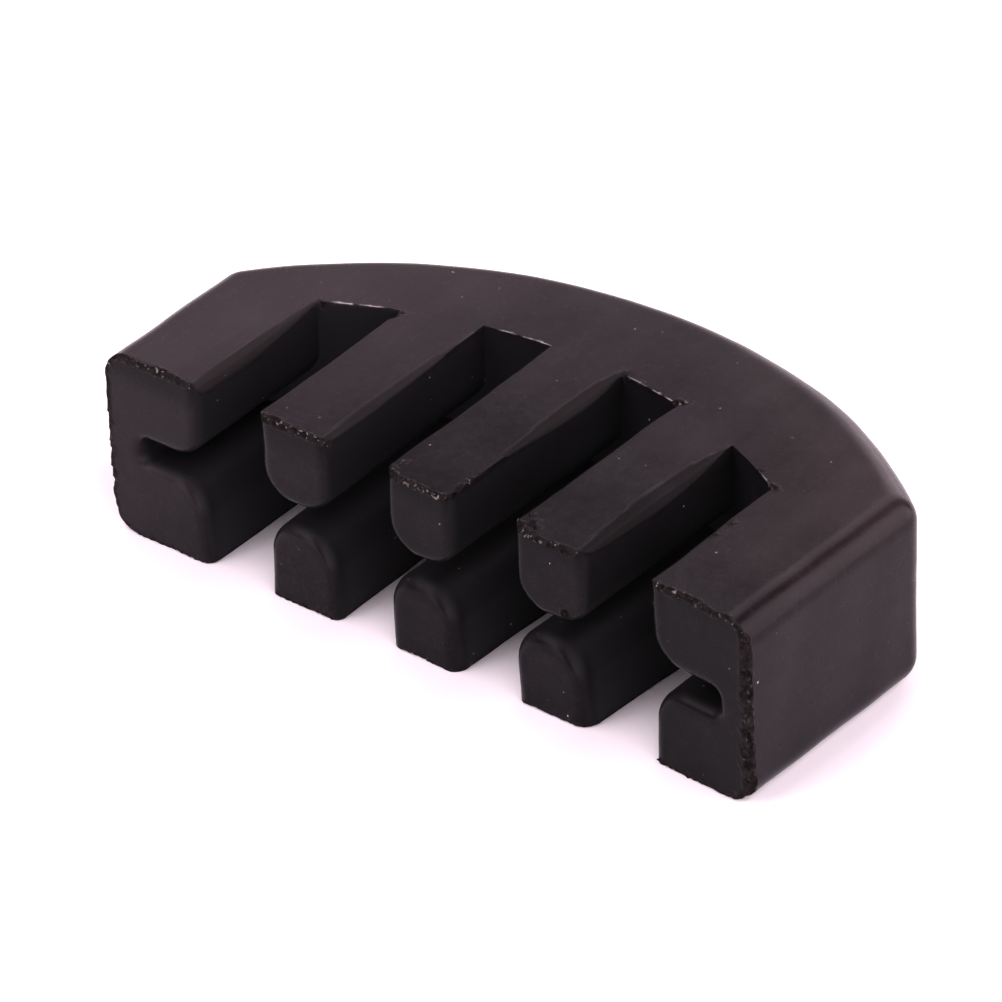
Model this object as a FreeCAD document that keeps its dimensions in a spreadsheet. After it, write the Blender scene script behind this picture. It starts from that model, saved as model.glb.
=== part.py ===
"""Rubber practice mute for a violin bridge: one moulding.

A block of rubber with an arched back and five prongs. Four string slots run between the
prongs, right through the thickness. One thin bridge slot runs along the block near half
its thickness and splits every prong into an upper and a lower tier. The mute is pushed
down over the top of the bridge: the bridge goes into the bridge slot, and each string
into a string slot.

Frame: +X along the block, +Y from the prong tips towards the arched back, +Z up through
the thickness. The origin is the centre of the bounding box, at its bottom face. Lengths
are in millimetres.
"""
import FreeCAD, Part
import math
import os
import Sketcher

DIMENSIONS = [
    ("length", 50.0, "overall length, end to end"),
    ("depth", 25.2, "overall depth, prong tips to the crown of the arch"),
    ("thickness", 13.0, "overall thickness"),
    ("left_end_depth", 12.5, "flat left end, prong tips to the arch"),
    ("right_end_depth", 16.2, "flat right end, prong tips to the arch"),
    ("corner_radius", 2.0, "upright corners between the ends and the arch"),
    ("rim_radius", 1.8, "rounded rim round the ends and the arch"),
    ("slot_pitch", 10.15, "middle of one string slot to the next"),
    ("slot_width", 4.85, "width of a string slot"),
    ("slot_shift", -0.2, "middle of the set of string slots, along the block"),
    ("slot_depth", 16.9, "prong tips to the crown of the slot bottoms"),
    ("slot_bottom_radius", 34.8, "curve of the slot bottoms, as a bridge's top edge"),
    ("bridge_slot_length", 44.8, "bridge slot, closed end to closed end"),
    ("bridge_slot_gap", 1.6, "bridge slot, floor to ceiling"),
    ("lower_tier", 5.6, "thickness of the lower tier, under the bridge slot"),
    ("prong_radius", 2.3, "rounding along the prongs, where the slots cross"),
    ("slot_end_radius", 0.5, "rounding along the closed ends of the bridge slot"),
    ("mouth_radius", 0.75, "rounding of the slot mouths in the prong tips"),
]
STRING_SLOTS = 4
NODE = "mute_body"

CLOSE = 0.01  # places nearer together than this are the same place
ORIGIN = (-1, 1)  # a sketch constraint's name for the sketch's origin
Y_AXIS = -2  # and for the sketch's Y axis
START, END, CENTRE = 1, 2, 3  # its names for the points of a line or an arc

BRIDGE_SLOT_CEILING = "dims.lower_tier + dims.bridge_slot_gap"


class Length:
    """A length that follows the sheet: its expression, and what that comes to now."""

    def __init__(self, expression, value):
        self.expression = expression
        self.value = value

    def __add__(self, other):
        return Length(f"({self.expression} + {other.expression})", self.value + other.value)

    def __sub__(self, other):
        return Length(f"({self.expression} - {other.expression})", self.value - other.value)

    def __mul__(self, factor):
        return Length(f"{self.expression} * ({factor})", self.value * factor)


def measure(sheet, alias):
    """One of the sheet's dimensions."""
    return Length(f"dims.{alias}", getattr(sheet, alias))


def front_of(sheet):
    """Y of the prong tips."""
    return measure(sheet, "depth") * -0.5


def make_sheet(doc):
    """The driving dimensions, one cell each, with an alias for the expressions."""
    sheet = doc.addObject("Spreadsheet::Sheet", "dims")
    for row, (alias, value, meaning) in enumerate(DIMENSIONS, start=1):
        sheet.set(f"A{row}", meaning)
        sheet.set(f"B{row}", str(value))
        sheet.setAlias(f"B{row}", alias)
    doc.recompute()
    return sheet


def make_sketch(body, name, height):
    """A sketch parallel to the body's XY plane, at a height given by an expression."""
    plane = next(item for item in body.Origin.OriginFeatures if item.Role == "XY_Plane")
    sketch = body.newObject("Sketcher::SketchObject", name)
    sketch.AttachmentSupport = [(plane, "")]
    sketch.MapMode = "FlatFace"
    sketch.setExpression("AttachmentOffset.Base.z", height)
    return sketch


def constrain(sketch, kind, *where):
    return sketch.addConstraint(Sketcher.Constraint(kind, *where))


def dimension(sketch, name, length, kind, *where):
    """A named constraint that follows a length."""
    index = constrain(sketch, kind, *where, length.value)
    sketch.renameConstraint(index, name)
    sketch.setExpression(f"Constraints.{name}", length.expression)


def add_line(sketch, start, end, construction=False):
    line = Part.LineSegment(FreeCAD.Vector(*start, 0), FreeCAD.Vector(*end, 0))
    return sketch.addGeometry(line, construction)


def draw_outline(sketch, name, front, left, right, top_of):
    """A closed outline: straight front, two upright sides and an arc for a top.

    front, left and right are lengths. top_of gives the height of the arc at X, near enough
    to start the sketch off. Returns the right side, the arc and the left side.
    """
    low, high = left.value, right.value
    middle = (low + high) / 2
    right_end, crown, left_end = (FreeCAD.Vector(x, top_of(x), 0) for x in (high, middle, low))

    front_line = add_line(sketch, (low, front.value), (high, front.value))
    right_line = add_line(sketch, (high, front.value), (high, right_end.y))
    arc = sketch.addGeometry(Part.Arc(right_end, crown, left_end), False)
    left_line = add_line(sketch, (low, left_end.y), (low, front.value))
    ring = [front_line, right_line, arc, left_line]
    for edge, following in zip(ring, ring[1:] + ring[:1]):
        constrain(sketch, "Coincident", edge, END, following, START)

    constrain(sketch, "Horizontal", front_line)
    constrain(sketch, "Vertical", right_line)
    constrain(sketch, "Vertical", left_line)
    dimension(sketch, f"{name}_front", front, "DistanceY", *ORIGIN, front_line, START)
    dimension(sketch, f"{name}_left", left, "DistanceX", *ORIGIN, front_line, START)
    dimension(sketch, f"{name}_right", right, "DistanceX", *ORIGIN, front_line, END)
    return right_line, arc, left_line


def draw_block(sketch, sheet):
    """The block from above. Its arch is set by the two ends and the crown."""
    tops = {-1: sheet.left_end_depth, 0: sheet.depth, 1: sheet.right_end_depth}

    def top_of(x):
        side = round(2 * x / sheet.length)
        return tops[side] - sheet.depth / 2

    front = front_of(sheet)
    half = measure(sheet, "length") * 0.5
    sides = draw_outline(sketch, "block", front, half * -1, half, top_of)
    right_line, arch, left_line = sides
    right_depth = measure(sheet, "right_end_depth")
    left_depth = measure(sheet, "left_end_depth")
    dimension(sketch, "right_end", right_depth, "DistanceY", right_line, START, right_line, END)
    dimension(sketch, "left_end", left_depth, "DistanceY", left_line, END, left_line, START)

    centre = sheet.depth / 2 - sheet.slot_bottom_radius
    rise = add_line(sketch, (0, centre), (0, sheet.depth / 2), construction=True)
    constrain(sketch, "Coincident", rise, START, arch, CENTRE)
    constrain(sketch, "PointOnObject", rise, END, arch)
    constrain(sketch, "Vertical", rise)
    dimension(sketch, "crown", front * -1, "DistanceY", *ORIGIN, rise, END)


def draw_slot_bottom(sketch, sheet):
    """The circle that every slot bottom lies on, as construction. Returns its centre Y too."""
    radius = measure(sheet, "slot_bottom_radius")
    centre = front_of(sheet) + measure(sheet, "slot_depth") - radius
    up = FreeCAD.Vector(0, 0, 1)
    shape = Part.Circle(FreeCAD.Vector(0, centre.value, 0), up, radius.value)
    circle = sketch.addGeometry(shape, True)
    dimension(sketch, "bottom_radius", radius, "Radius", circle)
    constrain(sketch, "PointOnObject", circle, CENTRE, Y_AXIS)
    dimension(sketch, "bottom_centre", centre, "DistanceY", *ORIGIN, circle, CENTRE)
    return circle, centre.value


def draw_slots(sketch, sheet, spans):
    """Slots open at the prong tips, each named span running between two lengths."""
    circle, centre = draw_slot_bottom(sketch, sheet)

    def top_of(x):
        return centre + math.sqrt(sheet.slot_bottom_radius ** 2 - x ** 2)

    for name, (left, right) in spans.items():
        arc = draw_outline(sketch, name, front_of(sheet), left, right, top_of)[1]
        constrain(sketch, "Coincident", arc, CENTRE, circle, CENTRE)
        constrain(sketch, "Equal", arc, circle)


def string_slot_spans(sheet):
    """The two sides of each string slot, by the slot's name."""
    half = measure(sheet, "slot_width") * 0.5
    spans = {}
    for number in range(STRING_SLOTS):
        steps = number - (STRING_SLOTS - 1) / 2
        middle = measure(sheet, "slot_shift") + measure(sheet, "slot_pitch") * steps
        spans[f"string_slot_{number + 1}"] = (middle - half, middle + half)
    return spans


def edges_where(feature, test):
    """The names of a feature's edges whose bounding boxes pass a test."""
    edges = feature.Shape.Edges
    return [f"Edge{n}" for n, edge in enumerate(edges, start=1) if test(edge.BoundBox)]


def near(value, *targets):
    return any(abs(value - target) < CLOSE for target in targets)


def add_fillet(doc, body, name, radius, test):
    """Round the edges of the body so far that pass the test, to a dimension's radius."""
    base = body.Tip
    fillet = body.newObject("PartDesign::Fillet", name)
    fillet.Base = (base, edges_where(base, test))
    fillet.setExpression("Radius", radius)
    doc.recompute()
    return fillet


def add_pocket(doc, body, name, sketch, length=None):
    """Cut a sketch down into the body: to a depth given by an expression, or right through."""
    volume = body.Shape.Volume
    pocket = body.newObject("PartDesign::Pocket", name)
    pocket.Profile = sketch
    pocket.Type = "Length" if length else "ThroughAll"
    if length:
        pocket.setExpression("Length", length)
    doc.recompute()
    if body.Shape.Volume > volume - 1:
        raise RuntimeError(f"{name} cut nothing")
    return pocket


def make_block(doc, body, sheet):
    """The arched block, with its upright corners and its rim rounded."""
    sketch = make_sketch(body, "block_outline", "0")
    draw_block(sketch, sheet)
    doc.recompute()
    pad = body.newObject("PartDesign::Pad", "block")
    pad.Profile = sketch
    pad.setExpression("Length", "dims.thickness")
    doc.recompute()

    front = -sheet.depth / 2

    def is_back_corner(box):
        return near(box.ZLength, sheet.thickness) and box.YMin > front + CLOSE

    def is_rim(box):
        return near(box.ZLength, 0) and not near(box.YMax, front)

    add_fillet(doc, body, "rounded_corners", "dims.corner_radius", is_back_corner)
    add_fillet(doc, body, "rounded_rim", "dims.rim_radius", is_rim)


def cut_slots(doc, body, sheet):
    """The four string slots, right through, and the bridge slot across them."""
    string_slots = make_sketch(body, "string_slot_outlines", "dims.thickness")
    draw_slots(string_slots, sheet, string_slot_spans(sheet))
    doc.recompute()
    add_pocket(doc, body, "string_slots", string_slots)

    half = measure(sheet, "bridge_slot_length") * 0.5
    bridge_slot = make_sketch(body, "bridge_slot_outline", BRIDGE_SLOT_CEILING)
    draw_slots(bridge_slot, sheet, {"bridge_slot": (half * -1, half)})
    doc.recompute()
    add_pocket(doc, body, "bridge_slot", bridge_slot, "dims.bridge_slot_gap")


def round_slots(doc, body, sheet):
    """Round the prongs along their length, the bridge slot's ends and every slot mouth."""
    front = -sheet.depth / 2
    slot_end = sheet.bridge_slot_length / 2
    levels = (sheet.lower_tier, sheet.lower_tier + sheet.bridge_slot_gap)

    def runs_along_prong(box):
        return near(box.XLength, 0) and near(box.ZLength, 0) and near(box.ZMin, *levels)

    def is_prong_edge(box):
        return runs_along_prong(box) and not near(abs(box.XMin), slot_end)

    def is_slot_end(box):
        return runs_along_prong(box) and near(abs(box.XMin), slot_end)

    def is_mouth(box):
        in_front = near(box.YMin, front) and near(box.YMax, front)
        inside = max(-box.XMin, box.XMax) < slot_end + CLOSE
        return in_front and inside and not near(box.ZMin + box.ZMax, 0, 2 * sheet.thickness)

    add_fillet(doc, body, "rounded_prongs", "dims.prong_radius", is_prong_edge)
    add_fillet(doc, body, "rounded_slot_ends", "dims.slot_end_radius", is_slot_end)
    add_fillet(doc, body, "rounded_mouths", "dims.mouth_radius", is_mouth)


def make_mute(doc, sheet):
    body = doc.addObject("PartDesign::Body", NODE)
    body.Label = NODE
    body.Placement = FreeCAD.Placement()
    make_block(doc, body, sheet)
    cut_slots(doc, body, sheet)
    round_slots(doc, body, sheet)
    return body


def check(doc, bodies):
    """Stop unless every object was worked out and every body is one sound solid."""
    for item in doc.Objects:
        if "Invalid" in item.State or "Error" in item.State:
            raise RuntimeError(f"{item.Name} could not be worked out: {item.State}")
    for body in bodies:
        shape = body.Shape
        if shape.isNull() or not shape.isValid() or len(shape.Solids) != 1:
            raise RuntimeError(f"{body.Label} is not one valid solid")


def export(bodies):
    os.makedirs("parts", exist_ok=True)
    for body in bodies:
        body.Shape.exportStep(os.path.join("parts", f"{body.Label}.step"))
        box = body.Shape.optimalBoundingBox(True, False)
        sizes = " x ".join(f"{side:.3f}" for side in (box.XLength, box.YLength, box.ZLength))
        print(f"{body.Label}: {sizes} mm, {body.Shape.Volume / 1000:.3f} cm3")


def main():
    doc = FreeCAD.newDocument("practice_mute")
    sheet = make_sheet(doc)
    bodies = [make_mute(doc, sheet)]
    doc.recompute()
    check(doc, bodies)
    export(bodies)


main()
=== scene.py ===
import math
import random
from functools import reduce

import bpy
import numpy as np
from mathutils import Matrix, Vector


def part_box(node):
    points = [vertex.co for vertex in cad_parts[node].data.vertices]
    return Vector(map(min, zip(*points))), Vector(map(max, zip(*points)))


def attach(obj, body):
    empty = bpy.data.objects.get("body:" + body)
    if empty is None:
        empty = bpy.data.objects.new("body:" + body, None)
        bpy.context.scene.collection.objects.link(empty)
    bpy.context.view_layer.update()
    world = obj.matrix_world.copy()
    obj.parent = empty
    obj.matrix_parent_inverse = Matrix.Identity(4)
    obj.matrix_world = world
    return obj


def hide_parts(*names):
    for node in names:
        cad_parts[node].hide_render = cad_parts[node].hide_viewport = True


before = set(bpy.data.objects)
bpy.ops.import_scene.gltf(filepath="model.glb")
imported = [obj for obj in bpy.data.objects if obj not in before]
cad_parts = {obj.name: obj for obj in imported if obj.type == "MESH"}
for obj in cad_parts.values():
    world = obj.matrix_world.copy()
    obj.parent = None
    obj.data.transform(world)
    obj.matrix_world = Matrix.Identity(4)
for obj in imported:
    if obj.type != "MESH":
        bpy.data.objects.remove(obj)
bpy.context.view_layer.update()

# Looks of a rubber practice mute for a violin bridge: one moulding of black rubber with
# an arched back and five prongs, trimmed by hand after moulding. The CAD node is replaced
# by a finer mesh of the same shape, which adds what moulding and trimming leave: bevels
# cut along the string slots, torn edges round the prong tips, crumbs of flash and a
# slightly uneven skin. Lengths in the shape functions are in millimetres, in the CAD
# frame: +X along the block, +Y towards the arch, +Z up.

NODE = "mute_body"
MM = 0.001

# ---------------------------------------------------------------- camera


def link(thing):
    bpy.context.collection.objects.link(thing)
    return thing


def make_camera():
    """A long lens to the right of the mute and above it, rolled by about a degree."""
    azimuth, elevation, roll = (math.radians(angle) for angle in (38.9, 33.9, -1.17))
    distance = 0.5534
    target = Vector((-0.00155, -0.00307, 0.006))
    back = Vector(
        (
            math.sin(azimuth) * math.cos(elevation),
            -math.cos(azimuth) * math.cos(elevation),
            math.sin(elevation),
        )
    )
    level = Vector((math.cos(azimuth), math.sin(azimuth), 0))
    upright = back.cross(level)
    right = level * math.cos(roll) + upright * math.sin(roll)
    up = upright * math.cos(roll) - level * math.sin(roll)
    camera = link(bpy.data.objects.new("camera", bpy.data.cameras.new("camera")))
    camera.data.lens = 324
    camera.data.sensor_width = 36
    camera.data.clip_start = 0.01
    camera.data.clip_end = 20
    camera.matrix_world = Matrix((right, up, back)).transposed().to_4x4()
    camera.matrix_world.translation = target + back * distance
    bpy.context.scene.camera = camera


make_camera()

# ---------------------------------------------------------------- sizes of the mute

low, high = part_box(NODE)
LENGTH, DEPTH, HEIGHT = ((b - a) / MM for a, b in zip(low, high))
FRONT = -DEPTH / 2  # Y of the prong tips

LEFT_END_DEPTH = 12.5
RIGHT_END_DEPTH = 16.2
CORNER_RADIUS = 2.0
RIM_RADIUS = 1.8
ARCH_RADIUS = 34.5
RIGHT_FULLNESS = 0.24  # how much the arch stands out near its right end
LEFT_FULLNESS = 0.1
LEFT_SPLAY = 0.019  # how far the left end stands out for each millimetre behind the tips
LEFT_SPREAD = 0.1  # and all along it
RIGHT_SPLAY = 0.008
TIP_TURN = 0.06  # how far the right end's tip stands forward for each millimetre along it
TIP_TURN_START = 18.4
RIGHT_LEAN = 0.035  # how far the right end leans in for each millimetre up
LEFT_LEAN = 0.04  # and the left end for each millimetre down, below LEFT_KNEE
LEFT_KNEE = 9.0
SLOT_LEAN = 0.025  # how far the slots lean towards -X for each millimetre up

SLOT_DEPTH = 16.9
SLOT_BOTTOM_RADIUS = 34.8
SLOT_BOTTOM_CENTRE = FRONT + SLOT_DEPTH - SLOT_BOTTOM_RADIUS  # Y of its circle's centre
BRIDGE_SLOT_LENGTH = 44.8
BRIDGE_SLOT_GAP = 1.6
LOWER_TIER = 5.6  # height of the rubber under the bridge slot
BRIDGE_SLOT_MIDDLE = LOWER_TIER + BRIDGE_SLOT_GAP / 2
PRONG_RADIUS = 2.3
SLOT_END_RADIUS = 0.5
MOUTH_RADIUS = 0.75  # of the edges round the prong tips
LOWER_MOUTH_EXTRA = 0.25  # how much rounder they are on the lower tier, near its top
FOOT_MOUTH_EXTRA = 0.35  # and at its foot, on the prongs right of the middle
# Where along X that starts, is there in full, starts to fade again and is gone.
FOOT_MOUTH_SPAN = (-4, 2, 13, 16)

# Each string slot's two walls, as X at the prong tips and X at the slot's bottom.
SLOT_WALLS = [
    ((-17.6, -17.85), (-12.75, -13.0)),
    ((-7.35, -7.75), (-2.75, -2.95)),
    ((2.35, 2.4), (7.1, 7.4)),
    ((12.55, 12.6), (17.3, 17.45)),
]
# How much further along X the same walls stand in the lower tier: at its top and at its
# foot, both at the prong tips, and at the slot's bottom.
LOWER_SHIFTS = [
    ((0.0, 0.38, 0.45), (0.45, 0.33, 0.2)),
    ((0.0, 0.34, 0.40), (-0.2, -0.2, 0.0)),
    ((-0.25, -0.05, 0.35), (-0.25, -0.37, -0.25)),
    ((-0.80, -0.27, 0.50), (0.20, 0.0, 0.05)),
]

BEVEL_REACH = 0.3  # how far a bevel's cut goes past its wall, towards the other one
# The bevels trimmed along the slots' top edges: where each starts and ends behind the
# prong tips, where between them it is widest, its width on top, its drop on the wall, and
# how much steeper than its slant the lower half is cut.
LEFT_BEVELS = [
    (-3.0, 12.3, 0.45, 0.44, 1.00, 0.06),
    (-3.0, 13.5, 0.45, 0.45, 0.40, 0.24),
    (3.5, 17.1, 0.68, 0.62, 0.72, 0.18),
    (-3.0, 14.2, 0.60, 0.82, 0.90, 0.24),
]
RIGHT_BEVELS = [
    (-4.0, 14.0, 0.50, 0.20, 0.40, 0.24),
    (-4.0, 16.5, 0.45, 0.15, 0.35, 0.24),
    (-3.0, 9.0, 0.40, 0.12, 0.25, 0.24),
    (-4.0, 8.0, 0.40, 0.20, 0.35, 0.24),
]
# Where along X the tips' top edges have a lip of flash, how far it fades at each end, how
# far it stands forward, and the height it starts at.
OVERHANGS = [(-2.6, 2.6), (7.3, 12.5)]
OVERHANG_FADE = 0.9
OVERHANG = 0.32
LIP_FOOT = 12.4

# Widths of the strip torn off the outer edges of the prong tips: at the least, along the
# top edge, at the right end and at the left end.
TORN_LEAST = 0.12
TORN_TOP = 0.31
TORN_RIGHT = 0.58
TORN_LEFT = 0.22
TEAR_STEEPNESS = 1.6  # how much further the torn edges reach across the tips than back

# Random ripples, each as its height, wavelength and seed: of the skin, of the torn strip's
# surface, and, as shares, of that strip's width and of the mouth's radius.
SKIN_RIPPLES = [(0.035, 7.0, 21), (0.010, 2.2, 22)]
TORN_RIPPLES = [(0.05, 0.33, 13)]
TORN_WIDTH_RIPPLES = [(0.55, 1.3, 11), (0.35, 0.5, 12)]
MOUTH_RIPPLES = [(0.18, 9.0, 31)]

THORN_TAPER = 0.85  # the share of its radius that a sliver or tear loses by its tip
# Slivers of flash that stand out from the edges: X, distance behind the prong tips and
# Z of the root, the same of the tip, and the root's radius.
SLIVERS = [
    ((7.6, 0.35, 12.75), (7.15, 0.25, 13.25), 0.22),
    ((7.9, 0.9, 12.8), (7.65, 0.75, 13.65), 0.2),
    ((8.5, 0.6, 12.8), (8.3, 0.4, 13.35), 0.15),
    ((7.5, 1.5, 12.8), (7.3, 1.35, 13.2), 0.14),
    ((-2.2, 0.5, 12.7), (-2.85, 0.55, 13.05), 0.2),
    ((-2.3, 1.3, 12.8), (-2.6, 1.0, 13.3), 0.15),
    ((17.9, 0.3, 12.75), (17.45, 0.1, 12.95), 0.18),
    ((-11.95, 0.3, 12.8), (-12.3, 0.1, 13.0), 0.15),
    ((18.1, 0.2, 0.2), (17.75, 0.0, 0.25), 0.15),
    ((24.7, 0.25, 0.7), (24.85, -0.15, 0.45), 0.16),
    ((-24.2, 0.25, 2.6), (-24.75, 0.1, 2.75), 0.16),
    ((-7.6, 0.4, 12.6), (-7.1, 0.1, 12.95), 0.18),
]
# Small tears at the corners of the slots' bottoms and edges, in the same terms.
TEARS = [
    ((-13.2, 13.6, 13.0), (-12.65, 14.3, 13.1), 0.28),
    ((6.9, 16.2, 13.0), (7.65, 16.75, 13.1), 0.3),
    ((16.9, 12.4, 13.0), (17.75, 12.3, 13.1), 0.22),
    ((15.6, 13.4, 13.0), (15.5, 13.55, 13.05), 0.14),
    ((-17.4, 12.2, 13.0), (-17.1, 12.4, 13.05), 0.14),
    ((3.4, 16.6, 13.0), (3.9, 16.75, 13.05), 0.14),
    ((17.55, 7.8, 13.1), (17.85, 7.9, 13.1), 0.16),
    ((17.5, 6.2, 13.1), (17.8, 6.1, 13.1), 0.13),
    ((-24.95, 0.0, 3.3), (-24.35, 0.1, 3.1), 0.28),
    ((-25.0, 0.0, 9.2), (-24.75, 0.1, 9.0), 0.22),
    ((10.9, 0.0, 8.0), (11.3, 0.15, 7.7), 0.3),
    ((2.2, 0.9, 13.0), (2.05, 1.5, 13.05), 0.16),
    ((2.2, 2.0, 13.0), (2.1, 2.5, 13.05), 0.13),
    ((2.2, 3.1, 13.0), (2.15, 3.5, 13.05), 0.11),
]


# ---------------------------------------------------------------- distance functions


def round_max(a, b, radius, cosine=0.0):
    """The larger of two distances, with the edge where they meet rounded.

    cosine is that of the angle between the two surfaces' outward directions.
    """
    a = a + radius
    b = b + radius
    apart = (a * a + b * b - 2 * a * b * cosine) / (1 - cosine * cosine)
    at_edge = (a > b * cosine) & (b > a * cosine)
    return np.where(at_edge, np.sqrt(np.maximum(apart, 0)), np.maximum(a, b)) - radius


def smooth_step(low, high, value):
    """Eased from 0 at low to 1 at high, which may be the smaller of the two."""
    share = np.clip((value - low) / (high - low), 0, 1)
    return share * share * (3 - 2 * share)


def ripple(x, y, z, wavelength, seed, waves=6):
    """A smooth random field between about -1 and 1, from plane waves."""
    draw = random.Random(seed)
    total = 0
    for _ in range(waves):
        direction = Vector((draw.gauss(0, 1), draw.gauss(0, 1), draw.gauss(0, 1))).normalized()
        rate = 2 * math.pi / (wavelength * draw.uniform(0.7, 1.5))
        phase = draw.uniform(0, 2 * math.pi)
        along = x * direction.x + y * direction.y + z * direction.z
        total = total + np.cos(rate * along + phase)
    return total / math.sqrt(2 * waves)


def rippled(value, x, y, z, ripples):
    """A value plus ripples, each given as its height, wavelength and seed."""
    for height, wavelength, seed in ripples:
        value = value + height * ripple(x, y, z, wavelength, seed)
    return value


def arch_centre():
    """The middle of the arch's circle, which passes through the tops of both ends."""
    left = Vector((-LENGTH / 2, FRONT + LEFT_END_DEPTH))
    right = Vector((LENGTH / 2, FRONT + RIGHT_END_DEPTH))
    chord = right - left
    drop = math.sqrt(ARCH_RADIUS ** 2 - (chord.length / 2) ** 2)
    across = Vector((chord.y, -chord.x)).normalized()
    return (left + right) / 2 + across * drop


ARCH_CENTRE = arch_centre()


def block_distance(x, y, z):
    """The block without its slots, and running on past the prong tips."""
    from_centre = np.hypot(x - ARCH_CENTRE.x, y - ARCH_CENTRE.y)
    slant = np.clip(np.abs(x - ARCH_CENTRE.x) / from_centre, 0, 0.8)
    right_end = x + RIGHT_LEAN * (z - HEIGHT / 2)
    left_end = -x + LEFT_LEAN * np.maximum(LEFT_KNEE - z, 0)
    right_end = right_end - RIGHT_SPLAY * (y - FRONT)
    left_end = left_end - LEFT_SPLAY * (y - FRONT) - LEFT_SPREAD
    ends = np.maximum(right_end, left_end) - LENGTH / 2
    fullness = RIGHT_FULLNESS * smooth_step(6, 15, x) + LEFT_FULLNESS * smooth_step(0, -10, x)
    plan = round_max(ends, from_centre - ARCH_RADIUS - fullness, CORNER_RADIUS, slant)
    faces = np.abs(z - HEIGHT / 2) - HEIGHT / 2
    return round_max(plan, faces, RIM_RADIUS)


def tip_place(x, z):
    """Y of the prong tips: level, but the right end's is askew and two have a lip of flash."""
    lip = 0
    for left, right in OVERHANGS:
        lip = lip + smooth_step(left, left + OVERHANG_FADE, x)
        lip = lip - smooth_step(right - OVERHANG_FADE, right, x)
    lip = OVERHANG * lip * smooth_step(LIP_FOOT, LIP_FOOT + 0.2, z)
    return FRONT - TIP_TURN * np.maximum(x - TIP_TURN_START, 0) - lip


def straightened(x, z):
    """X with the slots' lean taken out."""
    return x + SLOT_LEAN * (z - HEIGHT / 2)


def wall_place(wall, y):
    """X of a slot's wall at Y."""
    return wall[0] + (wall[1] - wall[0]) * (y - FRONT) / SLOT_DEPTH


def lower_shift(shifts, y, z):
    """How much further along X a slot's wall stands in the lower tier; nothing above it."""
    top, foot, bottom = shifts
    share_down = np.clip(1 - z / LOWER_TIER, 0, 1)
    share_back = np.clip((y - FRONT) / SLOT_DEPTH, 0, 1)
    at_tips = top + (foot - top) * share_down
    return (at_tips + (bottom - at_tips) * share_back) * (z < BRIDGE_SLOT_MIDDLE)


def string_slot_distance(x, y, z):
    """Sideways distance to the nearest string slot, less than nothing inside one."""
    nearest = np.inf
    for (left, right), (left_shifts, right_shifts) in zip(SLOT_WALLS, LOWER_SHIFTS):
        left_wall = wall_place(left, y) + lower_shift(left_shifts, y, z)
        right_wall = wall_place(right, y) + lower_shift(right_shifts, y, z)
        nearest = np.minimum(nearest, np.maximum(left_wall - x, x - right_wall))
    return nearest


def slots_distance(x, y, z):
    """Distance from the slots' walls, less than nothing in the rubber round them."""
    gap = np.abs(z - BRIDGE_SLOT_MIDDLE) - BRIDGE_SLOT_GAP / 2
    bridge_slot = round_max(gap, np.abs(x) - BRIDGE_SLOT_LENGTH / 2, SLOT_END_RADIUS)
    section = round_max(-string_slot_distance(x, y, z), -bridge_slot, PRONG_RADIUS)
    bottom = SLOT_BOTTOM_RADIUS - np.hypot(x, y - SLOT_BOTTOM_CENTRE)
    return np.minimum(section, bottom)


def bevel_distance(x, y, z, wall, bevel, side):
    """Two long cuts side by side off a slot wall's top edge, widest at the bevel's peak."""
    start, end, peak, width, drop, bulge = bevel
    back = y - FRONT
    share = np.clip((back - start) / (end - start), 0, 1)
    warped = share ** (math.log(0.5) / math.log(peak))
    swell = np.sin(math.pi * warped) ** 0.8
    past_wall = side * (x - wall_place(wall, y))
    slant = math.atan2(drop, width)
    upper, lower = slant - bulge, slant + bulge
    upper_cut = (past_wall + width * swell) * math.sin(upper) + (z - HEIGHT) * math.cos(upper)
    lower_cut = past_wall * math.sin(lower) + (z - HEIGHT + drop * swell) * math.cos(lower)
    here = (back > start) & (back < end) & (past_wall < BEVEL_REACH)
    return np.where(here, np.maximum(upper_cut, lower_cut), -HEIGHT)


def bevels_distance(x, y, z):
    """All eight trimmed bevels together."""
    cut = -np.inf
    for (left, right), left_bevel, right_bevel in zip(SLOT_WALLS, LEFT_BEVELS, RIGHT_BEVELS):
        cut = np.maximum(cut, bevel_distance(x, y, z, left, left_bevel, 1))
        cut = np.maximum(cut, bevel_distance(x, y, z, right, right_bevel, -1))
    return cut


def thorn_distance(x, y, z, thorns):
    """Distance from the nearest of a set of cones, each from a root to a thin tip."""
    nearest = np.inf
    for root, tip, radius in thorns:
        root = Vector((root[0], FRONT + root[1], root[2]))
        axis = Vector((tip[0], FRONT + tip[1], tip[2])) - root
        along = (x - root.x) * axis.x + (y - root.y) * axis.y + (z - root.z) * axis.z
        share = np.clip(along / axis.length_squared, 0, 1)
        gap_x = x - root.x - share * axis.x
        gap_y = y - root.y - share * axis.y
        gap_z = z - root.z - share * axis.z
        gap = np.sqrt(gap_x ** 2 + gap_y ** 2 + gap_z ** 2)
        nearest = np.minimum(nearest, gap - radius * (1 - THORN_TAPER * share))
    return nearest


def torn_width(x, z):
    """How wide a strip is torn off the prong tips' outer edges, by where the edge is."""
    at_top = TORN_TOP * smooth_step(HEIGHT - 1.2, HEIGHT - 0.2, z)
    at_right = TORN_RIGHT * smooth_step(LENGTH / 2 - 1.4, LENGTH / 2 - 0.4, x)
    at_left = TORN_LEFT * smooth_step(1.0 - LENGTH / 2, 0.4 - LENGTH / 2, x)
    return reduce(np.maximum, (TORN_LEAST, at_top, at_right, at_left))


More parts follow.
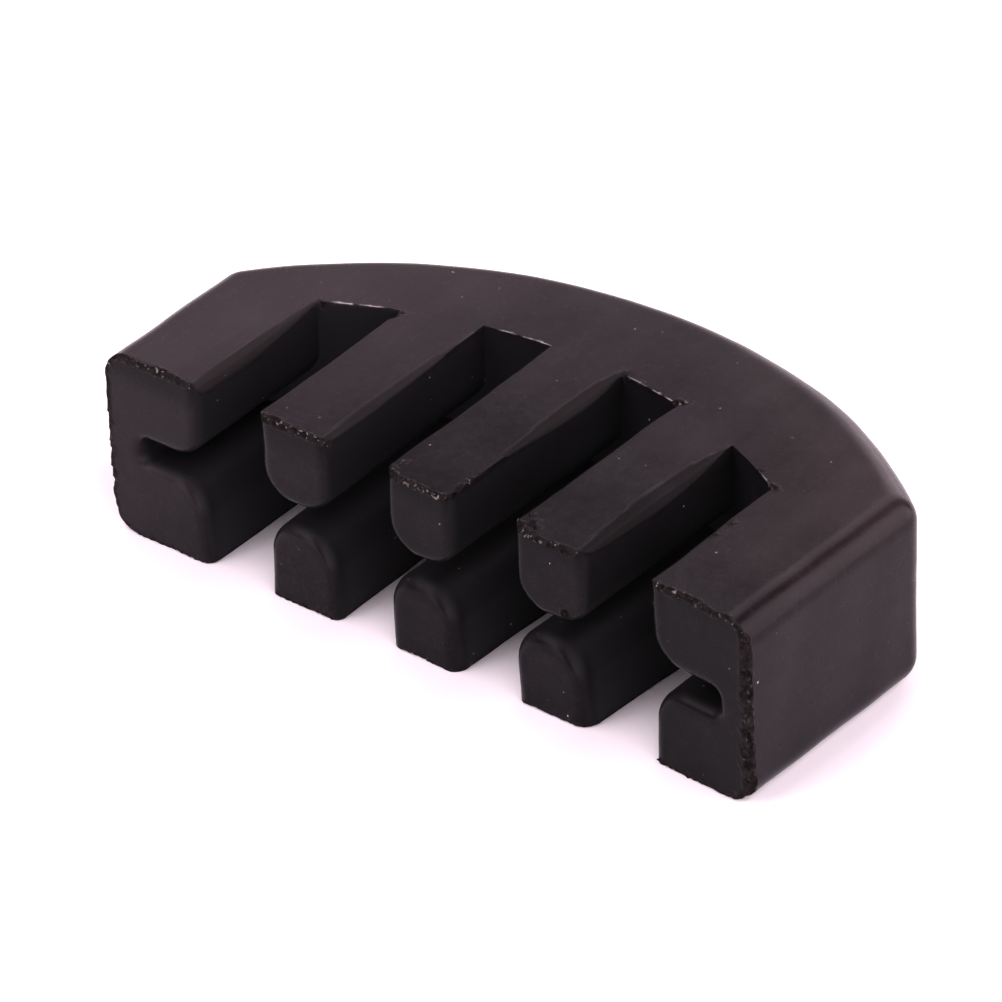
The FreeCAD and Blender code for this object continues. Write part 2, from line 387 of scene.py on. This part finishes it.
def torn_distance(x, y, z, inside):
    """The ragged strip torn off the outer edges of the prong tips.

    inside is the depth below the block's ends and faces.
    """
    rough = rippled(1, x, y, z, TORN_WIDTH_RIPPLES)
    width = torn_width(x, z) * np.clip(rough, 0.05, 2.1)
    behind = y - tip_place(x, z)
    cut = (width - inside - TEAR_STEEPNESS * behind) / math.hypot(1, TEAR_STEEPNESS)
    return rippled(cut, x, y, z, TORN_RIPPLES)


def mouth_radius(x, y, z):
    """How round the edges between the prong tips and the slots' walls are."""
    lower = smooth_step(LOWER_TIER + BRIDGE_SLOT_GAP, LOWER_TIER, z) * smooth_step(3, 5, z)
    start, full, fading, gone = FOOT_MOUTH_SPAN
    foot = smooth_step(3, 0, z) * smooth_step(start, full, x) * smooth_step(gone, fading, x)
    radius = MOUTH_RADIUS + LOWER_MOUTH_EXTRA * lower + FOOT_MOUTH_EXTRA * foot
    return radius * rippled(1, x, y, z, MOUTH_RIPPLES)


def body_distance(x, y, z):
    """Distance from the rubber's surface, less than nothing inside it."""
    block = block_distance(x, y, z)
    straight = straightened(x, z)
    slots = slots_distance(straight, y, z)
    tips = round_max(tip_place(x, z) - y, slots, mouth_radius(x, y, z))
    body = np.maximum(block, tips)
    body = np.maximum(body, torn_distance(x, y, z, -block))
    body = np.maximum(body, bevels_distance(straight, y, z))
    body = np.minimum(body, thorn_distance(x, y, z, SLIVERS))
    body = np.maximum(body, -thorn_distance(x, y, z, TEARS))
    return rippled(body, x, y, z, SKIN_RIPPLES)


# ---------------------------------------------------------------- turning it into a mesh

GRID_MARGIN = 0.8
GRID_GROWTH = 0.3  # how much the grid's steps grow for each millimetre away from a mark
# The finest and the coarsest step along each axis; any finer, and the mesh grows much larger.
# Any finer, and the mesh would have more triangles than an exported piece may keep.
X_STEPS = (0.11, 0.265)
Y_STEPS = (0.08, 0.285)
Z_STEPS = (0.08, 0.32)


def graded_line(low, high, marks, steps):
    """Grid lines from low to high that crowd together near each mark."""
    finest, coarsest = steps
    line = [low - GRID_MARGIN]
    while line[-1] < high + GRID_MARGIN:
        nearest = min(abs(line[-1] - mark) for mark in marks)
        line.append(line[-1] + min(coarsest, finest + GRID_GROWTH * nearest))
    return np.array(line)


def grid_lines():
    """Grid lines along X, Y and Z, fine at the slot walls, the prong tips and both faces."""
    ends = [-LENGTH / 2, LENGTH / 2]
    walls = [x for slot in SLOT_WALLS for wall in slot for x in wall]
    levels = [0, LOWER_TIER, LOWER_TIER + BRIDGE_SLOT_GAP, LIP_FOOT, HEIGHT]
    return (
        graded_line(*ends, walls + ends, X_STEPS),
        graded_line(FRONT, -FRONT, [FRONT], Y_STEPS),
        graded_line(0, HEIGHT, levels, Z_STEPS),
    )


def edge_crossings(lines, field, axis, distance):
    """Where the surface crosses the grid's edges along one axis.

    Gives the edges, the points, and whether the rubber ends there, going up the axis.
    """
    inside = field < 0
    first = [slice(None)] * 3
    last = [slice(None)] * 3
    first[axis] = slice(0, -1)
    last[axis] = slice(1, None)
    crossed = np.argwhere(inside[tuple(first)] != inside[tuple(last)])
    beyond = crossed.copy()
    beyond[:, axis] += 1
    low, high = lines[axis][crossed[:, axis]], lines[axis][beyond[:, axis]]
    low_value, high_value = field[tuple(crossed.T)], field[tuple(beyond.T)]
    leaving = low_value < 0
    points = np.stack([lines[k][crossed[:, k]] for k in range(3)], axis=1)
    for _ in range(4):
        middle = low + (high - low) * np.clip(low_value / (low_value - high_value), 0.05, 0.95)
        points[:, axis] = middle
        value = distance(*points.T)
        before = (value < 0) == leaving
        low, low_value = np.where(before, middle, low), np.where(before, value, low_value)
        high, high_value = np.where(before, high, middle), np.where(before, high_value, value)
    points[:, axis] = low + (high - low) * low_value / (low_value - high_value)
    return crossed, points, leaving


def outward(points, distance):
    """The direction in which a distance function grows at each point."""
    step = 0.004
    here = distance(*points.T)
    slope = np.empty_like(points)
    for k in range(3):
        ahead = points.copy()
        ahead[:, k] += step
        slope[:, k] = (distance(*ahead.T) - here) / step
    return slope / np.maximum(np.linalg.norm(slope, axis=1, keepdims=True), 1e-6)


def contour(lines, distance):
    """A quad mesh of a distance function's surface that keeps its sharp edges.

    Dual contouring: each grid cell that the surface crosses gets one point, where the
    planes that touch the surface on the cell's edges come nearest to meeting.
    """
    field = distance(lines[0][:, None, None], lines[1][None, :, None], lines[2][None, None, :])
    cells = tuple(len(line) - 1 for line in lines)
    hits, ups, owners, quads = [], [], [], []
    for axis in range(3):
        crossed, points, leaving = edge_crossings(lines, field, axis, distance)
        directions = outward(points, distance)
        ring = []
        for back_first, back_second in ((0, 0), (1, 0), (1, 1), (0, 1)):
            cell = crossed.copy()
            cell[:, (axis + 1) % 3] -= back_first
            cell[:, (axis + 2) % 3] -= back_second
            ring.append(np.ravel_multi_index(tuple(cell.T), cells))
            hits.append(points)
            ups.append(directions)
            owners.append(ring[-1])
        ring = np.stack(ring, axis=1)
        quads.append(np.where(leaving[:, None], ring, ring[:, ::-1]))
    used, owner = np.unique(np.concatenate(owners), return_inverse=True)
    points = meeting_points(np.concatenate(hits), np.concatenate(ups), owner, len(used))
    corner = np.stack(np.unravel_index(used, cells), axis=1)
    for k in range(3):
        points[:, k] = np.clip(points[:, k], lines[k][corner[:, k]], lines[k][corner[:, k] + 1])
    order = np.full(math.prod(cells), -1)
    order[used] = np.arange(len(used))
    return points, order[np.concatenate(quads)]


def meeting_points(hits, directions, owner, count):
    """Per owner, the point nearest to all of its hits' tangent planes and to their middle."""
    share = 1 / np.bincount(owner, minlength=count)
    middle = np.stack([np.bincount(owner, hits[:, k], count) * share for k in range(3)], axis=1)
    height = (directions * (hits - middle[owner])).sum(axis=1)
    pull = 0.04
    matrix = np.empty((count, 3, 3))
    target = np.empty((count, 3))
    for row in range(3):
        target[:, row] = np.bincount(owner, directions[:, row] * height, count) * share
        for column in range(3):
            product = directions[:, row] * directions[:, column]
            matrix[:, row, column] = np.bincount(owner, product, count) * share
    matrix += pull * np.eye(3)
    return middle + np.linalg.solve(matrix, target[:, :, None])[:, :, 0]


def rubber_mesh():
    """The mute's rubber as one closed mesh, with masks for its worn places and for painted
    light and shade.
    """
    points, quads = contour(grid_lines(), body_distance)
    mesh = bpy.data.meshes.new(NODE + "_rubber")
    mesh.from_pydata((points * MM).tolist(), [], quads.tolist())
    mesh.shade_smooth()
    mesh.validate()
    mesh.set_sharp_from_angle(angle=math.radians(38))
    add_wear_and_light_masks(mesh, points)
    print("rubber mesh:", len(points), "points,", len(quads), "quads")
    return mesh


def add_share(mesh, name, share):
    """A number from 0 to 1 at each point of a mesh, for its material to read."""
    layer = mesh.attributes.new(name, "FLOAT", "POINT")
    layer.data.foreach_set("value", share.astype(np.float32))


def add_wear_and_light_masks(mesh, points):
    """How worn or sheltered the skin is at each point, where flash lies, and where light and
    shade are painted.
    """
    x, y, z = points.T
    straight = straightened(x, z)
    inside = -block_distance(x, y, z)
    torn = smooth_step(-0.12, -0.02, torn_distance(x, y, z, inside))
    near_thorn = np.minimum(thorn_distance(x, y, z, TEARS), thorn_distance(x, y, z, SLIVERS))
    add_share(mesh, "torn", np.maximum(torn, smooth_step(0.12, 0.0, near_thorn)))

    trimmed = smooth_step(-0.06, -0.03, bevels_distance(straight, y, z))
    add_share(mesh, "trimmed", trimmed)

    # Painted fill light is laid on the slots' walls, most of it low down and far in.
    behind = y - tip_place(x, z)
    into_slots = np.minimum(inside, behind)
    sheltered = smooth_step(0.06, 0.5, into_slots) * (1 - trimmed)
    add_share(mesh, "sheltered", sheltered)
    low_down = smooth_step(LOWER_TIER + 0.5, LOWER_TIER - 1.5, z)
    far_in = smooth_step(5, 15, behind) * smooth_step(HEIGHT - 0.5, HEIGHT - 5, z)
    deep = np.maximum(far_in, 0.7 * low_down)
    add_share(mesh, "deep", sheltered * smooth_step(0.6, 1.6, behind) * deep)

    # Painted shade: the tips are darkened along their top edges, at the right end and where
    # they round into the slots.
    on_tip = smooth_step(0.35, 0.15, behind)
    rounding = smooth_step(0.0, 0.3, into_slots) * smooth_step(1.6, 0.5, behind) * (1 - trimmed)
    tip_top = on_tip * smooth_step(2.6, 0.3, HEIGHT - z)
    right_tip = 0.5 * on_tip * smooth_step(17.0, 18.5, x)
    add_share(mesh, "tip_shade", reduce(np.maximum, (tip_top, 0.5 * rounding, right_tip)))

    # A thread of flash runs along the top edge of each slot's bottom, with a painted highlight
    # on it.
    from_bottom = np.abs(np.hypot(straight, y - SLOT_BOTTOM_CENTRE) - SLOT_BOTTOM_RADIUS)
    in_slot = smooth_step(0.3, -0.1, string_slot_distance(straight, y, z))
    flash = smooth_step(0.14, 0.0, from_bottom) * smooth_step(0.16, 0.0, HEIGHT - z) * in_slot
    add_share(mesh, "flash", flash)


# ---------------------------------------------------------------- materials

# The rubber's linear colours: the skin, the bevels cut in it with painted shade, bloom that
# also paints sheen, painted shade on the tips and painted fill light in the slots, then the
# torn edges, and then what is scattered over both, with painted glints among the crumbs and
# a painted highlight on the flash.
DARK_SKIN = (0.0058, 0.0047, 0.0059, 1)
PALE_SKIN = (0.0104, 0.0084, 0.0105, 1)
CUT_RUBBER_SHADE = (0.0030, 0.0021, 0.0020, 1)
BLOOM_AND_SHEEN = (0.0450, 0.0375, 0.0395, 1)
WARM_BLOOM_AND_SHEEN = (0.0530, 0.0378, 0.0375, 1)
PAINTED_TIP_SHADE = (0.0026, 0.0021, 0.0022, 1)
LEFT_FILL_LIGHT = (0.0165, 0.0165, 0.0183, 1)
RIGHT_FILL_LIGHT = (0.0096, 0.0102, 0.0102, 1)
DEEP_FILL_LIGHT = (0.0310, 0.0310, 0.0335, 1)
DARK_TEAR = (0.0040, 0.0030, 0.0030, 1)
PALE_TEAR = (0.0260, 0.0200, 0.0190, 1)
CRUMB_AND_GLINT = (0.19, 0.185, 0.165, 1)
SPECK = (0.32, 0.30, 0.30, 1)
FLASH_GLINT = (0.42, 0.40, 0.41, 1)


class Nodes:
    """A material's node tree, with short ways to add and join nodes."""

    def __init__(self, tree):
        self.tree = tree
        tree.nodes.clear()

    def add(self, kind, **settings):
        """A node. Settings that aren't its attributes feed the inputs of that name."""
        node = self.tree.nodes.new(kind)
        for name, value in settings.items():
            if hasattr(node, name):
                setattr(node, name, value)
            else:
                self.feed(node.inputs[name.replace("_", " ")], value)
        return node

    def feed(self, socket, value):
        """Link a socket to another one, or set it to a plain value."""
        if isinstance(value, bpy.types.NodeSocket):
            self.tree.links.new(value, socket)
        else:
            socket.default_value = value

    def noise(self, where, scale, detail=2.0, roughness=0.5, distortion=0.0):
        return self.add(
            "ShaderNodeTexNoise",
            Vector=where,
            Scale=scale,
            Detail=detail,
            Roughness=roughness,
            Distortion=distortion,
        ).outputs["Fac"]

    def ramp(self, value, *stops):
        """Map a value through (place, grey) stops."""
        node = self.add("ShaderNodeValToRGB", Fac=value)
        elements = node.color_ramp.elements
        while len(elements) < len(stops):
            elements.new(1.0)
        for element, (place, grey) in zip(elements, stops):
            element.position = place
            element.color = (grey, grey, grey, 1)
        return node.outputs["Color"]

    def math(self, operation, *values):
        node = self.add("ShaderNodeMath", operation=operation)
        for socket, value in zip(node.inputs, values):
            self.feed(socket, value)
        return node.outputs[0]

    def product(self, first, *others):
        total = first
        for other in others:
            total = self.math("MULTIPLY", total, other)
        return total

    def weighted_sum(self, start, *terms):
        """start plus each (weight, value) term."""
        total = start
        for weight, value in terms:
            total = self.math("MULTIPLY_ADD", value, weight, total)
        return total

    def mix(self, share, first, second, blend_type="MIX"):
        node = self.add("ShaderNodeMix", data_type="RGBA", blend_type=blend_type)
        self.feed(node.inputs["Factor"], share)
        self.feed(node.inputs[6], first)
        self.feed(node.inputs[7], second)
        return node.outputs[2]

    def bump(self, height, distance, strength=1.0, normal=None):
        node = self.add("ShaderNodeBump", Height=height, Distance=distance, Strength=strength)
        if normal:
            self.feed(node.inputs["Normal"], normal)
        return node.outputs["Normal"]


def new_material(name):
    material = bpy.data.materials.new(name)
    material.use_nodes = True
    return material, Nodes(material.node_tree)


def set_surface(nodes, shader):
    output = nodes.add("ShaderNodeOutputMaterial")
    nodes.feed(output.inputs["Surface"], shader.outputs["BSDF"])


def bloom_and_sheen_share(nodes, where, masks):
    """How much bloom and painted sheen: most at the back and the ends, on open faces that look
    up.
    """
    place = nodes.add("ShaderNodeSeparateXYZ", Vector=where)
    along, across = place.outputs["X"], place.outputs["Y"]
    blotch = nodes.noise(where, 95, 3, 0.55, 0.4)
    dust_and_sheen = nodes.weighted_sum(
        0.109,
        (24.0, across),
        (-19.0, along),
        (1050.0, nodes.product(along, along)),
        (0.4, blotch),
    )
    facing = nodes.add("ShaderNodeNewGeometry").outputs["Normal"]
    upward = nodes.add("ShaderNodeSeparateXYZ", Vector=facing).outputs["Z"]
    # Faces that look up get more of it, as settled dust and as painted light.
    settled_and_lit = nodes.ramp(upward, (0.0, 0.28), (0.9, 1.0))
    open_air = nodes.math("SUBTRACT", 1.0, masks["sheltered"])
    untrimmed = nodes.math("MULTIPLY_ADD", masks["trimmed"], -0.3, 1.0)
    return nodes.product(nodes.ramp(dust_and_sheen, (0.0, 0), (1.1, 1)), settled_and_lit, open_air, untrimmed)


def skin_colour(nodes, where, masks, mottle):
    """Untorn skin: mottled black, bloom with painted sheen, painted shade, painted fill light
    in the slots.
    """
    along = nodes.add("ShaderNodeSeparateXYZ", Vector=where).outputs["X"]
    along_share = nodes.math("MULTIPLY_ADD", along, 1 / (LENGTH * MM), 0.5)
    warm = nodes.ramp(along_share, (0.62, 0), (0.92, 1))
    in_right_slots = nodes.ramp(along_share, (0.25, 0), (0.52, 1))
    # Painted fill light in the slots, paler in the left ones.
    fill_light = nodes.mix(in_right_slots, LEFT_FILL_LIGHT, RIGHT_FILL_LIGHT)
    fill_share = nodes.ramp(masks["sheltered"], (0.6, 0), (1.0, 0.7))

    colour = nodes.mix(mottle, DARK_SKIN, PALE_SKIN)
    # Painted shade: the trimmed bevels are darkened below the skin's colour.
    colour = nodes.mix(nodes.product(masks["trimmed"], 0.7), colour, CUT_RUBBER_SHADE)
    # Bloom, paler than the skin, which also paints sheen where more light is reflected.
    bloom_and_sheen = nodes.mix(warm, BLOOM_AND_SHEEN, WARM_BLOOM_AND_SHEEN)
    colour = nodes.mix(bloom_and_sheen_share(nodes, where, masks), colour, bloom_and_sheen)
    # Painted shade on the tips.
    colour = nodes.mix(nodes.product(masks["tip_shade"], 0.8), colour, PAINTED_TIP_SHADE)
    colour = nodes.mix(fill_share, colour, fill_light)
    # More painted fill light far in and low down.
    return nodes.mix(nodes.product(masks["deep"], 0.6), colour, DEEP_FILL_LIGHT)


def torn_colour(nodes, where):
    """Torn rubber: crumbled, with pale crumbs and painted glints in patches, most of them near
    the top.
    """
    crumbled = nodes.ramp(nodes.noise(where, 2600, 4, 0.75), (0.40, 0), (0.62, 1))
    # Pale crumbs, which also paint glints on the torn edges.
    crumbs_and_glints = nodes.ramp(nodes.noise(where, 4300, 2, 0.5), (0.61, 0), (0.66, 1))
    patches = nodes.ramp(nodes.noise(where, 420, 2, 0.5), (0.38, 0.1), (0.54, 1))
    upward = nodes.add("ShaderNodeSeparateXYZ", Vector=where).outputs["Z"]
    share_up = nodes.product(upward, 1 / (HEIGHT * MM))
    near_top = nodes.ramp(share_up, (0.87, 0.3), (0.95, 1))
    torn = nodes.mix(crumbled, DARK_TEAR, PALE_TEAR)
    return nodes.mix(nodes.product(crumbs_and_glints, patches, near_top), torn, CRUMB_AND_GLINT)


def add_debris(nodes, where, masks, colour):
    """Pale specks scattered on the skin, and a painted highlight on the uneven thread of flash.
    """
    specks = nodes.ramp(nodes.noise(where, 2600, 1, 0.4), (0.805, 0), (0.83, 1))
    colour = nodes.mix(specks, colour, SPECK)
    uneven = nodes.ramp(nodes.noise(where, 700, 3, 0.6), (0.40, 0), (0.60, 1))
    # The thread of flash gets a painted highlight.
    thread = nodes.product(nodes.ramp(masks["flash"], (0.55, 0), (1.0, 1)), uneven)
    return nodes.mix(thread, colour, FLASH_GLINT)


def skin_normal(nodes, where, masks):
    """Fine grain on shallow ripples, and rougher where the rubber is torn."""
    grain = nodes.bump(nodes.noise(where, 5200, 3, 0.6), 0.01 * MM, 0.5)
    ripples = nodes.bump(nodes.noise(where, 900, 3, 0.5), 0.03 * MM, 0.35, grain)
    ragged = nodes.product(nodes.noise(where, 4200, 4, 0.7), masks["torn"])
    return nodes.bump(ragged, 0.12 * MM, 0.8, ripples)


def rubber_material():
    """Satin moulded rubber: black with a warm cast, mottled, scuffed, with dust in places, and
    painted light and shade.
    """
    material, nodes = new_material("satin_rubber")
    where = nodes.add("ShaderNodeTexCoord").outputs["Object"]
    masks = {
        name: nodes.add("ShaderNodeAttribute", attribute_name=name).outputs["Fac"]
        for name in ("torn", "trimmed", "tip_shade", "sheltered", "deep", "flash")
    }
    mottle = nodes.ramp(nodes.noise(where, 1300, 5, 0.75), (0.36, 0), (0.64, 1))
    colour = skin_colour(nodes, where, masks, mottle)
    colour = nodes.mix(nodes.product(masks["torn"], 0.9), colour, torn_colour(nodes, where))
    colour = add_debris(nodes, where, masks, colour)

    stretched = nodes.add("ShaderNodeMapping", Vector=where, Scale=(1.0, 0.12, 1.0)).outputs[0]
    scuffs = nodes.ramp(nodes.noise(stretched, 1500, 3, 0.6), (0.52, 0), (0.78, 1))
    roughness = nodes.weighted_sum(
        0.22,
        (0.06, mottle),
        (0.05, scuffs),
        (0.6, masks["torn"]),
        (0.32, masks["trimmed"]),
        (0.28, masks["sheltered"]),
    )
    shader = nodes.add(
        "ShaderNodeBsdfPrincipled",
        Base_Color=colour,
        Roughness=roughness,
        Normal=skin_normal(nodes, where, masks),
    )
    shader.inputs["Specular IOR Level"].default_value = 0.17
    set_surface(nodes, shader)
    return material


def floor_material():
    material, nodes = new_material("studio_floor")
    shader = nodes.add("ShaderNodeBsdfPrincipled", Base_Color=(0.9, 0.9, 0.9, 1), Roughness=0.8)
    set_surface(nodes, shader)
    return material


# ---------------------------------------------------------------- studio

TINT = (1.0, 0.875, 0.95, 1.0)  # the lamps' colour
FLOOR_REACH = 1.5
FLOOR_DROP = 0.06 * MM  # so that the skin's ripples stay clear of the floor
# How bright the tent's walls are from the -X side, 0, to the +X side, 1, and what is left
# of that towards its top.
PANELS = [
    (0.250, 0.22),
    (0.285, 1.05),
    (0.475, 1.05),
    (0.495, 0.02),
    (0.650, 0.02),
    (0.675, 1.20),
    (0.80, 1.50),
    (0.86, 1.20),
    (0.92, 0.90),
]
ROOF = [(0.74, 1.0), (0.90, 0.35)]


def make_floor():
    mesh = bpy.data.meshes.new("floor")
    signs = ((-1, -1), (1, -1), (1, 1), (-1, 1))
    corners = [(x * FLOOR_REACH, y * FLOOR_REACH, 0) for x, y in signs]
    mesh.from_pydata(corners, [], [(0, 1, 2, 3)])
    mesh.materials.append(floor_material())
    floor = link(bpy.data.objects.new("floor", mesh))
    floor.location.z = -FLOOR_DROP


def add_softbox(name, place, size, power):
    """A square lamp at a place, turned towards the mute."""
    lamp = bpy.data.lights.new(name, "AREA")
    lamp.size = size
    lamp.energy = power
    lamp.color = TINT[:3]
    softbox = link(bpy.data.objects.new(name, lamp))
    softbox.location = place
    softbox.rotation_euler = (-Vector(place)).to_track_quat("-Z", "Y").to_euler()


def light_world():
    """A light tent: bright panels at the sides and back, a dark gap between two of them."""
    world = bpy.data.worlds.new("studio")
    world.use_nodes = True
    bpy.context.scene.world = world
    nodes = Nodes(world.node_tree)
    direction = nodes.add("ShaderNodeTexCoord").outputs["Generated"]
    parts = nodes.add("ShaderNodeSeparateXYZ", Vector=direction)
    across = nodes.math("MULTIPLY_ADD", parts.outputs["X"], 0.5, 0.5)
    panels = nodes.ramp(across, *PANELS)
    roof = nodes.ramp(parts.outputs["Z"], *ROOF)
    glow = nodes.mix(1.0, nodes.mix(1.0, panels, roof, "MULTIPLY"), TINT, "MULTIPLY")
    background = nodes.add("ShaderNodeBackground", Color=glow, Strength=3.0)
    output = nodes.add("ShaderNodeOutputWorld")
    nodes.feed(output.inputs["Surface"], background.outputs["Background"])


def make_studio():
    make_floor()
    light_world()
    add_softbox("key", (-0.45, -0.50, 0.75), 0.7, 4.5)
    view = bpy.context.scene.view_settings
    view.view_transform = "Standard"
    view.look = "None"
    view.gamma = 0.8


# ---------------------------------------------------------------- the mute


def make_mute():
    mesh = rubber_mesh()
    mesh.materials.append(rubber_material())
    rubber = link(bpy.data.objects.new("rubber_mute", mesh))
    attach(rubber, "root")
    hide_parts(NODE)


make_studio()
make_mute()
